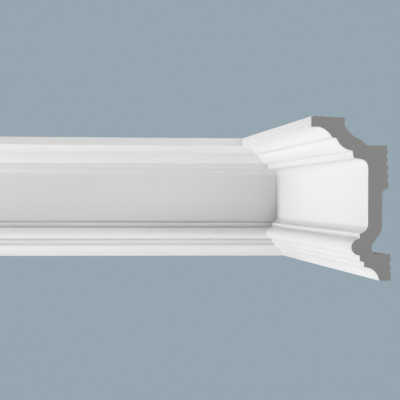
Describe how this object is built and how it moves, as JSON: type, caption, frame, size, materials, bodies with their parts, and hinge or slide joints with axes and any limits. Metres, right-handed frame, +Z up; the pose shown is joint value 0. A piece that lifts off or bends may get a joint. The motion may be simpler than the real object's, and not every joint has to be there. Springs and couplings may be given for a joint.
{
  "type": "cornice moulding length",
  "caption": "White cornice moulding in a mitred inside corner: fascia, cavetto and ovolo over a plain frieze, torus and cove below, hollow back.",
  "frame": {"origin": "the room's corner at ceiling height, where the back wall (y = 0), the side wall (x = 0) and the ceiling (z = 0) meet", "axes": "+Z up to the ceiling, -X along the back wall length, -Y along the side wall length, so the room is at negative x, y and z"},
  "size_m": [0.6, 0.73, 0.2],
  "materials": {
    "white_primer": "factory white primer on hard foam, satin-matt, smooth",
    "cut_core": "sawn section, mid grey, matt, fine closed cells",
    "raw_back": "unprimed moulded back, light grey, matt, with glue grooves"
  },
  "bodies": {
    "root": {"back_wall_length": "white_primer", "side_wall_length": "white_primer"}
  },
  "joints": []
}
